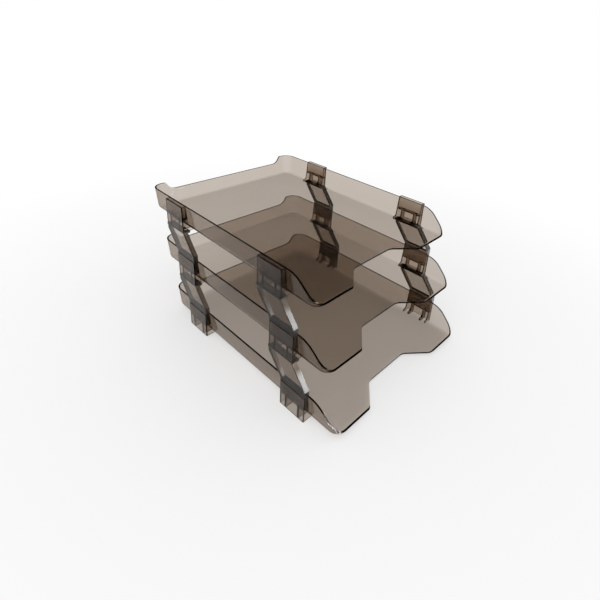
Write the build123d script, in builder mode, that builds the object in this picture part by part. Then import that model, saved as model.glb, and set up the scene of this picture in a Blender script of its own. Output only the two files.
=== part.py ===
# Three stacked letter trays in smoked clear polystyrene. Slanted risers, plugged into sockets on the
# trays' side walls, carry them one above the other, each further forward than the one above it.
#
# Frame: +X to the right, +Y to the back, +Z up. The open fronts face -Y. The origin is on the desk,
# below the middle of the whole stack. All sizes are in millimetres.
import math
import os

from build123d import *

os.makedirs("parts", exist_ok=True)

# Arrangement of the tiers
tier_pitch = 66.0           # rim of one tray to the rim of the next
tier_step = 19.5            # how far each tray stands in front of the one above
tier_names = ["bottom", "middle", "top"]

# Tray moulding
rim_width = 236.0           # outside of the rim, side to side
tray_depth = 301.0          # front lip to the outside of the rear rim
tray_height = 29.0          # rim to the underside of the floor
wall = 2.0
draft = 5.5                 # degrees that every wall leans outwards
base_corner_radius = 12.3   # plan corners at the floor
floor_bend_radius = 6.0     # outside bend from wall to floor
rim_overrun = 2.0           # blank left above the rim, trimmed off by the side profile
cutter_overrun = 15.0       # cutters run this far past the moulding

# Side profile: the side walls sweep down to a low front lip
sweep_start = 39.0          # from the front lip back to where the rim begins to fall
sweep_slope = 43.0
sweep_top_radius = 28.0
sweep_foot_radius = 8.0
lip_height = 2.8            # front lip above the underside of the floor

# Rear wall, lowered between two ears
ear_width = 20.0
rear_drop = 10.0
ear_slope = 58.0
ear_top_radius = 4.0
ear_foot_radius = 14.0
rear_cut_depth = 12.0       # the cutter reaches this far inside the rear rim

# Finger cut-out in the front lip and floor
scoop_half_width = 64.0
scoop_depth = 26.0
scoop_slope = 40.0          # its sides against the front edge
scoop_mouth_radius = 11.0
scoop_inner_radius = 14.0
mouth_lead = 20.0           # the cut runs out of the lip over this length, at this rise per length
mouth_flare = 0.1

# Sockets on the side walls: a pocket above, three cells below, and a bottom edge the tray stands on
socket_width = 36.5         # front to back
socket_height = 32.0        # rim to the bottom edge
socket_stand_off = 5.4      # outer face beyond the tray's rim
socket_plate = 1.8          # outer plate
socket_end = 1.6            # front and rear end walls
socket_corner_radius = 0.8
pocket_depth = 15.5
pocket_floor = 1.5
pocket_offset = 0.2         # inner face of the pocket beyond the tray's rim
rib_thickness = 2.8
rib_spacing = 19.0
front_socket_gap = 0.9      # front socket behind the start of the sweep
rear_socket_inset = 48.5    # rear socket's rear end to the tray's rear rim

# Riser: a slanted channel with a tab for the socket above and a tongue for the socket below
riser_depth = 5.8
riser_recess = 0.4          # its face behind the socket's face
riser_plate = 1.8
riser_flange = 2.8
head_reach = 9.0            # how far the head plate reaches inwards under the socket
head_overhang = 1.2         # head plate past the socket's rear end
lead_front = 2.0            # straight run at the top of the front edge
lead_rear = 7.0             # straight run at the top of the rear edge
tail_rear = 3.2             # straight run at the bottom of the rear edge
collar_height = 4.9
tongue_fit = 0.2            # tongue in the pocket, each face
tongue_tip_gap = 1.0
tab_thickness = 1.6
tab_height = 5.0
tab_fit = 0.2               # tab between the socket's ribs and behind its plate
tip_chamfer = 0.6

# Sizes that follow from the ones above
flare = tray_height * math.tan(math.radians(draft))
side_inset = wall / math.cos(math.radians(draft)) - wall * math.tan(math.radians(draft))
rim_half = rim_width / 2
lip_y = -tray_depth / 2
rear_y = tray_depth / 2
base_rear = rear_y - flare
sweep_y = lip_y + sweep_start
socket_face = rim_half + socket_stand_off
socket_root = rim_half - flare - floor_bend_radius
plate_inside = socket_face - socket_plate
pocket_inside = rim_half + pocket_offset
front_socket_y = sweep_y + front_socket_gap
rear_socket_y = rear_y - rear_socket_inset - socket_width
riser_face = socket_face - riser_recess
riser_height = tier_pitch - socket_height
slant_height = riser_height - lead_rear - tail_rear


def plan_rectangle(side, inner_x, outer_x, front_y, end_y, mode=Mode.ADD):
    """Rectangle in the current plan sketch, between two distances from the middle on one side."""
    with Locations((side * (inner_x + outer_x) / 2, (front_y + end_y) / 2)):
        Rectangle(outer_x - inner_x, end_y - front_y, mode=mode)


def socket(side, front_y, rim_z):
    """Socket on one side wall (side is 1 on the right, -1 on the left), open above and below."""
    end_y = front_y + socket_width
    bottom_z = rim_z - socket_height
    pocket_z = rim_z - pocket_depth
    cell_top = pocket_z - pocket_floor
    with BuildSketch(Plane.XY.offset(bottom_z)) as cell_walls:
        plan_rectangle(side, socket_root, socket_face, front_y, end_y)
        plan_rectangle(
            side, socket_root, plate_inside, front_y + socket_end, end_y - socket_end, Mode.SUBTRACT
        )
        for rib in (-1, 1):
            rib_y = front_y + (socket_width + rib * rib_spacing - rib_thickness) / 2
            plan_rectangle(side, socket_root, plate_inside, rib_y, rib_y + rib_thickness)
    extrude(cell_walls.sketch, amount=cell_top - bottom_z)
    with BuildSketch(Plane.XY.offset(cell_top)) as block:
        plan_rectangle(side, socket_root, socket_face, front_y, end_y)
    extrude(block.sketch, amount=rim_z - cell_top)
    with BuildSketch(Plane.XY.offset(pocket_z)) as pocket:
        plan_rectangle(side, pocket_inside, plate_inside, front_y + socket_end, end_y - socket_end)
    extrude(pocket.sketch, amount=pocket_depth, mode=Mode.SUBTRACT)


def tray(rim_z, tier_y):
    """One tray: a drafted shell with four sockets, its rim swept down at the front, its rear lowered."""
    floor_z = rim_z - tray_height
    base_width = 2 * (rim_half - flare)
    base_middle = tier_y + (lip_y + base_rear) / 2
    with BuildPart() as moulding:
        with BuildSketch(Plane.XY.offset(floor_z)):
            with Locations((0, base_middle)):
                RectangleRounded(base_width, base_rear - lip_y, base_corner_radius)
        extrude(amount=tray_height + rim_overrun, taper=-draft)
        fillet(moulding.faces().sort_by(Axis.Z)[0].edges(), floor_bend_radius)

        for side in (-1, 1):
            socket(side, tier_y + front_socket_y, rim_z)
            socket(side, tier_y + rear_socket_y, rim_z)
        socket_corners = moulding.edges().filter_by(Axis.Z).filter_by(
            lambda edge: abs(edge.center().X) > plate_inside + socket_plate / 2
        )
        fillet(socket_corners, socket_corner_radius)

        # Inside, left open at the top
        with BuildSketch(Plane.XY.offset(floor_z + wall)):
            with Locations((0, base_middle)):
                RectangleRounded(
                    base_width - 2 * side_inset,
                    base_rear - lip_y - 2 * side_inset,
                    base_corner_radius - side_inset,
                )
        extrude(amount=tray_height + rim_overrun - wall, taper=-draft, mode=Mode.SUBTRACT)
        inner_floor = moulding.faces().filter_by(Axis.Z).filter_by(
            lambda face: abs(face.center().Z - floor_z - wall) < wall / 2
        )
        fillet(inner_floor.edges(), floor_bend_radius - wall)

        # Rim line and front sweep, cut through both side walls at once
        rim_corner = sweep_y - sweep_top_radius * math.tan(math.radians(sweep_slope / 2))
        fall = tray_height - lip_height
        foot_corner = rim_corner - fall / math.tan(math.radians(sweep_slope))
        clear_y = rear_y + cutter_overrun
        with BuildSketch(Plane.YZ) as side_profile:
            with BuildLine():
                rim_line = FilletPolyline(
                    (tier_y + clear_y, rim_z),
                    (tier_y + rim_corner, rim_z),
                    (tier_y + foot_corner, rim_z - fall),
                    (tier_y - clear_y, rim_z - fall),
                    radius=[sweep_top_radius, sweep_foot_radius],
                )
                Polyline(
                    rim_line @ 1,
                    (tier_y - clear_y, rim_z + cutter_overrun),
                    (tier_y + clear_y, rim_z + cutter_overrun),
                    rim_line @ 0,
                )
            make_face()
        extrude(side_profile.sketch, amount=rim_width, both=True, mode=Mode.SUBTRACT)

        # Rear wall between the ears
        ear_x = rim_half - ear_width
        low_x = ear_x - rear_drop / math.tan(math.radians(ear_slope))
        with BuildSketch(Plane.XZ.offset(-(tier_y + clear_y))) as rear_profile:
            with BuildLine():
                dip = FilletPolyline(
                    (-rim_half, rim_z),
                    (-ear_x, rim_z),
                    (-low_x, rim_z - rear_drop),
                    (low_x, rim_z - rear_drop),
                    (ear_x, rim_z),
                    (rim_half, rim_z),
                    radius=[ear_top_radius, ear_foot_radius, ear_foot_radius, ear_top_radius],
                )
                Polyline(dip @ 1, (rim_half, rim_z + rim_overrun), (-rim_half, rim_z + rim_overrun), dip @ 0)
            make_face()
        extrude(rear_profile.sketch, amount=cutter_overrun + rear_cut_depth, mode=Mode.SUBTRACT)

        # Finger cut-out
        inner_x = scoop_half_width - scoop_depth / math.tan(math.radians(scoop_slope))
        front = tier_y + lip_y
        with BuildSketch(Plane.XY.offset(floor_z)) as scoop:
            with BuildLine():
                edge = FilletPolyline(
                    (-scoop_half_width - mouth_lead, front - mouth_lead * mouth_flare),
                    (-scoop_half_width, front),
                    (-inner_x, front + scoop_depth),
                    (inner_x, front + scoop_depth),
                    (scoop_half_width, front),
                    (scoop_half_width + mouth_lead, front - mouth_lead * mouth_flare),
                    radius=[scoop_mouth_radius, scoop_inner_radius, scoop_inner_radius, scoop_mouth_radius],
                )
                Line(edge @ 1, edge @ 0)
            make_face()
        extrude(scoop.sketch, amount=tray_height, mode=Mode.SUBTRACT)
    return moulding.part


def riser(side, front_y, top_z):
    """Slanted channel that carries one socket of a tray on the socket below and in front of it."""
    end_y = front_y + socket_width
    low_z = top_z - riser_height
    tail_z = low_z + tail_rear
    lead_z = top_z - lead_front
    with BuildPart() as moulding:
        with BuildSketch(Plane.YZ.offset(side * riser_face)) as outline:
            with BuildLine():
                Polyline(
                    (front_y, top_z),
                    (front_y, lead_z),
                    (front_y - tier_step, lead_z - slant_height),
                    (front_y - tier_step, low_z),
                    (end_y - tier_step, low_z),
                    (end_y - tier_step, tail_z),
                    (end_y, tail_z + slant_height),
                    (end_y, top_z),
                    close=True,
                )
            make_face()
        extrude(outline.sketch, amount=-side * riser_depth)

        # Hollow behind the outer plate, above the collar
        with BuildSketch(Plane.YZ.offset(side * (riser_face - riser_plate))) as hollow:
            add(outline.sketch_local)
            offset(amount=-riser_flange, kind=Kind.INTERSECTION)
            with Locations((front_y - tier_step + socket_width / 2, low_z)):
                Rectangle(2 * socket_width, 2 * collar_height, mode=Mode.SUBTRACT)
        extrude(hollow.sketch, amount=-side * riser_depth, mode=Mode.SUBTRACT)

        # Head plate that the socket's bottom edge stands on
        with BuildSketch(Plane.XY.offset(top_z - riser_flange)) as head:
            plan_rectangle(side, riser_face - head_reach, riser_face, front_y, end_y + head_overhang)
        extrude(head.sketch, amount=riser_flange)

        # Tab in the middle cell of the socket above
        tab_face = plate_inside - tab_fit
        tab_half = (rib_spacing - rib_thickness) / 2 - tab_fit
        middle_y = front_y + socket_width / 2
        with BuildSketch(Plane.XY.offset(top_z)) as tab:
            plan_rectangle(side, tab_face - tab_thickness, tab_face, middle_y - tab_half, middle_y + tab_half)
        extrude(tab.sketch, amount=tab_height)
        chamfer(moulding.faces().group_by(Axis.Z)[-1].edges(), tip_chamfer)

        # Tongue in the pocket of the socket below
        tongue_inset = socket_end + tongue_fit
        with BuildSketch(Plane.XY.offset(low_z)) as tongue:
            plan_rectangle(
                side,
                pocket_inside + tongue_fit,
                plate_inside - tongue_fit,
                front_y - tier_step + tongue_inset,
                end_y - tier_step - tongue_inset,
            )
        extrude(tongue.sketch, amount=tongue_tip_gap - pocket_depth)
        chamfer(moulding.faces().group_by(Axis.Z)[0].edges(), tip_chamfer)
    return moulding.part


for tier, tier_name in enumerate(tier_names):
    rim_z = socket_height + tier * tier_pitch
    tier_y = (tier - (len(tier_names) - 1) / 2) * tier_step
    tray_part = tray(rim_z, tier_y)
    tray_part.label = f"{tier_name}_tray"
    export_step(tray_part, f"parts/{tier_name}_tray.step")
    if tier > 0:
        for end_name, end_y in [("front", front_socket_y), ("rear", rear_socket_y)]:
            for side_name, side in [("left", -1), ("right", 1)]:
                piece = riser(side, tier_y + end_y, rim_z - socket_height)
                piece.label = f"{tier_name}_{end_name}_{side_name}_riser"
                export_step(piece, f"parts/{piece.label}.step")
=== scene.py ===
import math

import bpy
from mathutils import Matrix, Vector


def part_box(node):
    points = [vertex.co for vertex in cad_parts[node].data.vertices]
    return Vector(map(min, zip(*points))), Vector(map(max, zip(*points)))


# Three letter trays in smoked clear polystyrene, stacked on slanted risers of the same plastic.
# Metres throughout: +X to the right, +Y to the back, +Z up, with the open fronts towards -Y.
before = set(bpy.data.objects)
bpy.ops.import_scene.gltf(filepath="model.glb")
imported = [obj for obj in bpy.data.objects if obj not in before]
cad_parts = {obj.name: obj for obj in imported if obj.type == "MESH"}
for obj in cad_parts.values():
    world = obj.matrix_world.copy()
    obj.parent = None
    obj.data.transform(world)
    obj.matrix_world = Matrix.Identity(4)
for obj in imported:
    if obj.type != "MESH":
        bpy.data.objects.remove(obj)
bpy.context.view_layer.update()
scene = bpy.context.scene


# Camera, at the photograph's viewing angle. Its place is measured from the middle of the top tray's
# rim: distance, height and heading as solved from the rims, sockets and risers.
top_low, top_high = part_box("top_tray")
rim_middle = Vector((0, (top_low.y + top_high.y) / 2, top_high.z))
aim_behind = 0.0089
aim = rim_middle + Vector((0, aim_behind, 0))
camera_heading = math.radians(-48.264)
camera_elevation = math.radians(24.902)
camera_roll = math.radians(4.190)
camera_distance = 0.5555
aim_to_right, aim_to_top = -0.04336, 0.02121
film_width, focal_length = 36, 26.158
shift_to_right, shift_to_top = -0.0445, -0.1424
nearest_seen, furthest_seen = 0.01, 100
back = Vector((
    math.sin(camera_heading) * math.cos(camera_elevation),
    -math.cos(camera_heading) * math.cos(camera_elevation),
    math.sin(camera_elevation),
))
level_right = Vector((0, 0, 1)).cross(back).normalized()
level_up = back.cross(level_right)
right = level_right * math.cos(camera_roll) + level_up * math.sin(camera_roll)
up = level_up * math.cos(camera_roll) - level_right * math.sin(camera_roll)
camera_data = bpy.data.cameras.new("camera")
camera_data.sensor_width, camera_data.lens = film_width, focal_length
camera_data.shift_x, camera_data.shift_y = shift_to_right, shift_to_top
camera_data.clip_start, camera_data.clip_end = nearest_seen, furthest_seen
camera = bpy.data.objects.new("camera", camera_data)
scene.collection.objects.link(camera)
camera_place = aim + back * camera_distance - right * aim_to_right - up * aim_to_top
camera_turn = Matrix((right, up, back)).transposed().to_4x4()
camera.matrix_world = Matrix.Translation(camera_place) @ camera_turn
scene.camera = camera


# Desk: a plain pale matt top. It takes the stack's soft shadow, and further out it fades into the
# plain white of the room, so that no far edge of it shows.
desk_size = 12.0
desk_gap = 0.0002
plain_white = (1, 1, 1, 1)
desk_paint = (0.8, 0.8, 0.8, 1)
seen_paint = (0.55, 0.55, 0.55, 1)
seen_glow = 0.48
white_from, white_by = 0.30, 0.72


class Shade:
    """One socket of a node tree. Sums on it add Math nodes, and add() puts in any other node."""

    def __init__(self, tree, socket=None):
        self.tree = tree
        self.socket = socket

    def add(self, kind, settings=None, inputs=None, output=0):
        """Adds a node: its settings first, then the values or links of its sockets."""
        node = self.tree.nodes.new(kind)
        for name, value in (settings or {}).items():
            setattr(node, name, value)
        for name, value in (inputs or {}).items():
            if isinstance(value, Shade):
                self.tree.links.new(value.socket, node.inputs[name])
            else:
                node.inputs[name].default_value = value
        return Shade(self.tree, node.outputs[output]) if node.outputs else node

    def maths(self, operation, first, second=0.0):
        """A Math node on one or two values."""
        return self.add("ShaderNodeMath", {"operation": operation}, {0: first, 1: second})

    def __add__(self, other):
        return self.maths("ADD", self, other)

    __radd__ = __add__

    def __sub__(self, other):
        return self.maths("SUBTRACT", self, other)

    def __rsub__(self, other):
        return self.maths("SUBTRACT", other, self)

    def __mul__(self, other):
        return self.maths("MULTIPLY", self, other)

    __rmul__ = __mul__

    def fade(self, start, end, low=0.0, high=1.0):
        """From low to high, smoothly, as this value goes from start to end."""
        return self.add("ShaderNodeMapRange", {"interpolation_type": "SMOOTHSTEP"}, {
            "Value": self, "From Min": start, "From Max": end, "To Min": low, "To Max": high,
        })

    def blend(self, first, second):
        """A colour that goes from first to second as this value goes from 0 to 1."""
        return self.add("ShaderNodeMix", {"data_type": "RGBA"}, {0: self, 6: first, 7: second}, 2)


def new_tree(owner):
    """Switches on a material's or the room's nodes and empties them."""
    owner.use_nodes = True
    owner.node_tree.nodes.clear()
    return Shade(owner.node_tree)


def seen_rays(shade):
    """1 for the rays that the camera, a gloss or clear plastic sees by, and 0 for other light."""
    direct = shade.add("ShaderNodeLightPath", None, None, "Is Camera Ray")
    glossy = shade.add("ShaderNodeLightPath", None, None, "Is Glossy Ray")
    through = shade.add("ShaderNodeLightPath", None, None, "Is Transmission Ray")
    return shade.maths("MAXIMUM", shade.maths("MAXIMUM", direct, glossy), through)


bpy.ops.mesh.primitive_plane_add(size=desk_size)
desk = bpy.context.object
desk.name = "desk"
desk.data.transform(Matrix.Translation((0, 0, -desk_gap)))
desk_top = bpy.data.materials.new("pale_desk_top")
shade = new_tree(desk_top)
spot = shade.add("ShaderNodeTexCoord", None, None, "Object")
reach = shade.add("ShaderNodeVectorMath", {"operation": "LENGTH"}, {0: spot}, "Value")
matt = shade.add("ShaderNodeBsdfDiffuse", None, {"Color": desk_paint})
seen_matt = shade.add("ShaderNodeBsdfDiffuse", None, {"Color": seen_paint})
glow = shade.add("ShaderNodeEmission", None, {"Color": plain_white, "Strength": seen_glow})
near = shade.add("ShaderNodeAddShader", None, {0: seen_matt, 1: glow})
white = shade.add("ShaderNodeEmission", None, {"Color": plain_white, "Strength": 1.0})
shown = shade.add("ShaderNodeMixShader", None, {0: reach.fade(white_from, white_by), 1: near, 2: white})
desk_face = shade.add("ShaderNodeMixShader", None, {0: seen_rays(shade), 1: matt, 2: shown})
shade.add("ShaderNodeOutputMaterial", None, {"Surface": desk_face})
desk.data.materials.append(desk_top)


# Room and lamps: a white room with a darker ceiling gives nearly all the light, and a weak lamp on the
# left fills in. The key lamp, a narrow upright one in front on the right, shows in the gloss only.
room_light = 0.8
ceiling_tone = 0.05
ceiling_from, ceiling_by = 0.05, 0.35
key_size, key_power, key_distance = (0.06, 0.28), 6.0, 1.2
key_target = Vector((-0.117, -0.115, 0.070))
key_way = Vector((0.519, -0.775, 0.362)).normalized()
fill_size, fill_power = (1.0, 1.0), 2.0
fill_place, fill_target = Vector((-1.0, -0.3, 1.2)), Vector((0, 0, 0.08))

room = bpy.data.worlds.new("studio")
scene.world = room
shade = new_tree(room)
way = shade.add("ShaderNodeTexCoord", None, None, "Generated")
height = shade.add("ShaderNodeSeparateXYZ", None, {0: way}, "Z")
direct = shade.add("ShaderNodeLightPath", None, None, "Is Camera Ray")
tone = shade.maths("MAXIMUM", direct, height.fade(ceiling_from, ceiling_by, 1.0, ceiling_tone))
light = shade.add("ShaderNodeBackground", None, {"Color": plain_white, "Strength": room_light})
sight = shade.add("ShaderNodeBackground", None, {"Color": plain_white, "Strength": tone})
mixed = shade.add("ShaderNodeMixShader", None, {0: seen_rays(shade), 1: light, 2: sight})
shade.add("ShaderNodeOutputWorld", None, {"Surface": mixed})


def soft_lamp(name, size, power, place, target):
    """A soft lamp of a given width and height that faces a point on the stack."""
    data = bpy.data.lights.new(name, "AREA")
    data.shape = "RECTANGLE"
    data.size, data.size_y = size
    data.energy = power
    lamp = bpy.data.objects.new(name, data)
    scene.collection.objects.link(lamp)
    lamp.location = place
    lamp.rotation_euler = (target - place).to_track_quat("-Z", "Y").to_euler()
    return lamp


key_lamp = soft_lamp("key_lamp", key_size, key_power, key_target + key_way * key_distance, key_target)
key_lamp.visible_diffuse = key_lamp.visible_transmission = False
soft_lamp("fill_lamp", fill_size, fill_power, fill_place, fill_target)


# Trays: three letter trays from one mould, each a single injection moulding in smoked clear
# polystyrene with its four riser sockets. The lowest stands on its feet, the others on risers.
tray_smoke = (0.548, 0.452, 0.356, 1)
tray_density = 550.0
plastic_index = 1.50
plastic_gloss = 0.05
lamp_pass = (0.9, 0.9, 0.9, 1)
edge_round, edge_samples = 0.0003, 4
edge_from, edge_by = 0.01, 0.15
flow_stretch, flow_scale, flow_detail = (1.0, 0.35, 1.0), 28.0, 2.0
cloud_scale, cloud_detail = 11.0, 3.0
grain_scale, grain_detail = 900.0, 2.0
scratch_turn, scratch_stretch, scratch_scale = (0.2, 0.3, 0.6), (1.0, 0.04, 1.0), 700.0
worn_from, worn_by, worn_roughness = 0.40, 0.65, 0.12
scratch_from, scratch_by, scuff_roughness = 0.66, 0.76, 0.10
scuffed_from, scuffed_by = 0.45, 0.65
haze_from, haze_by, haze_tint = 0.3, 0.7, (0.98, 0.98, 0.975, 1)
flow_rise, grain_rise = 0.8, 0.004
relief_strength, relief_depth = 0.6, 0.00005
socket_from, socket_by = 0.1184, 0.1188
# Painted shade: a browner, darker tint on the sockets' outer plates
socket_painted_shade = (0.93, 0.91, 0.88, 1)


def smoked_plastic(name, smoke, density, painted_shade_zone, painted_shade_tint):
    """Clear plastic with the smoke in its thickness, moulding flow, scuffed edges, and a painted shade
    tint on a given zone.
    """
    material = bpy.data.materials.new(name)
    shade = new_tree(material)
    spot = shade.add("ShaderNodeTexCoord", None, None, "Object")
    flow_spot = shade.add("ShaderNodeMapping", None, {0: spot, "Scale": flow_stretch})
    flow = shade.add("ShaderNodeTexNoise", None, {
        "Vector": flow_spot, "Scale": flow_scale, "Detail": flow_detail,
    })
    cloud = shade.add("ShaderNodeTexNoise", None, {
        "Vector": spot, "Scale": cloud_scale, "Detail": cloud_detail,
    })
    grain = shade.add("ShaderNodeTexNoise", None, {
        "Vector": spot, "Scale": grain_scale, "Detail": grain_detail,
    })
    scratch_spot = shade.add("ShaderNodeMapping", None, {
        0: spot, "Rotation": scratch_turn, "Scale": scratch_stretch,
    })
    scratch = shade.add("ShaderNodeTexNoise", None, {"Vector": scratch_spot, "Scale": scratch_scale})

    bend = shade.add("ShaderNodeBevel", {"samples": edge_samples}, {"Radius": edge_round})
    face = shade.add("ShaderNodeNewGeometry", None, None, "True Normal")
    same = shade.add("ShaderNodeVectorMath", {"operation": "DOT_PRODUCT"}, {0: bend, 1: face}, "Value")
    edge = (1 - same).fade(edge_from, edge_by)
    worn = edge * grain.fade(worn_from, worn_by)
    scuff = scratch.fade(scratch_from, scratch_by) * cloud.fade(scuffed_from, scuffed_by)

    clear = cloud.fade(haze_from, haze_by).blend(haze_tint, plain_white)
    relief = shade.add("ShaderNodeBump", None, {
        "Strength": relief_strength,
        "Distance": relief_depth,
        "Height": flow * flow_rise + grain * grain_rise,
        "Normal": bend,
    })
    plastic = shade.add("ShaderNodeBsdfPrincipled", None, {
        # Base Color: the painted shade tint on the given zone, over the clear haze
        "Base Color": painted_shade_zone(shade, spot).blend(clear, painted_shade_tint),
        "Roughness": scuff * scuff_roughness + worn * worn_roughness,
        "Transmission Weight": 1.0,
        "IOR": plastic_index,
        "Specular Tint": (plastic_gloss, plastic_gloss, plastic_gloss, 1),
        "Normal": relief,
    })
    open_to_lamps = shade.add("ShaderNodeBsdfTransparent", None, {"Color": lamp_pass})
    shadow = shade.add("ShaderNodeLightPath", None, None, "Is Shadow Ray")
    surface = shade.add("ShaderNodeMixShader", None, {0: shadow, 1: plastic, 2: open_to_lamps})
    depth = shade.add("ShaderNodeVolumeAbsorption", None, {"Color": smoke, "Density": density})
    shade.add("ShaderNodeOutputMaterial", None, {"Surface": surface, "Volume": depth})
    return material


def painted_shade_sockets(shade, spot):
    """1 on the sockets' outer plates, which stand outside the rims and take a browner painted shade, and
    0 elsewhere.
    """
    across = shade.add("ShaderNodeSeparateXYZ", None, {0: spot}, "X")
    return shade.maths("ABSOLUTE", across).fade(socket_from, socket_by)


tray_plastic = smoked_plastic(
    "smoked_tray_plastic", tray_smoke, tray_density, painted_shade_sockets, socket_painted_shade)
for name in ("bottom_tray", "middle_tray", "top_tray"):
    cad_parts[name].material_slots[0].material = tray_plastic


# Risers: eight slanted brackets moulded in the same smoked plastic. Each stands with its tongue in
# the socket below and carries the socket above. Its ribbed edges look nearly black end on, and its
# narrow faces carry a painted shade that darkens them.
riser_smoke = (0.532, 0.460, 0.387, 1)
riser_density = 680.0
broad_from, broad_by = 0.5, 0.8
# Painted shade: a dark tint on the risers' narrow faces
narrow_painted_shade = (0.33, 0.32, 0.30, 1)
front_by, front_from = -0.7, -0.5
front_roughness, front_index = 0.40, 2.0


def painted_shade_narrow_faces(shade, spot):
    """1 on a riser's narrow faces, which end its ribs and take the painted shade, and 0 on its broad
    faces to left and right.
    """
    facing = shade.add("ShaderNodeTexCoord", None, None, "Normal")
    sideways = shade.add("ShaderNodeSeparateXYZ", None, {0: facing}, "X")
    return shade.maths("ABSOLUTE", sideways).fade(broad_from, broad_by, 1.0, 0.0)


riser_plastic = smoked_plastic(
    "smoked_riser_plastic", riser_smoke, riser_density, painted_shade_narrow_faces, narrow_painted_shade)

# The slanted fronts left the mould with a satin skin, which catches the key lamp along their length
shade = Shade(riser_plastic.node_tree)
facing = shade.add("ShaderNodeTexCoord", None, None, "Normal")
frontward = shade.add("ShaderNodeSeparateXYZ", None, {0: facing}, "Y")
satin = frontward.fade(front_by, front_from, 1.0, 0.0)
plastic = riser_plastic.node_tree.nodes["Principled BSDF"]
shade.tree.links.new(satin.socket, plastic.inputs["Coat Weight"])
plastic.inputs["Coat Roughness"].default_value = front_roughness
plastic.inputs["Coat IOR"].default_value = front_index

for tier in ("middle", "top"):
    for end in ("front", "rear"):
        for side in ("left", "right"):
            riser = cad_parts[f"{tier}_{end}_{side}_riser"]
            riser.material_slots[0].material = riser_plastic


# Close: enough bounces for light to leave the stacked walls, and the plain view.
wall_bounces = 40
scene.cycles.max_bounces = wall_bounces
scene.cycles.transmission_bounces = wall_bounces
scene.cycles.transparent_max_bounces = wall_bounces
scene.view_settings.view_transform = "Standard"
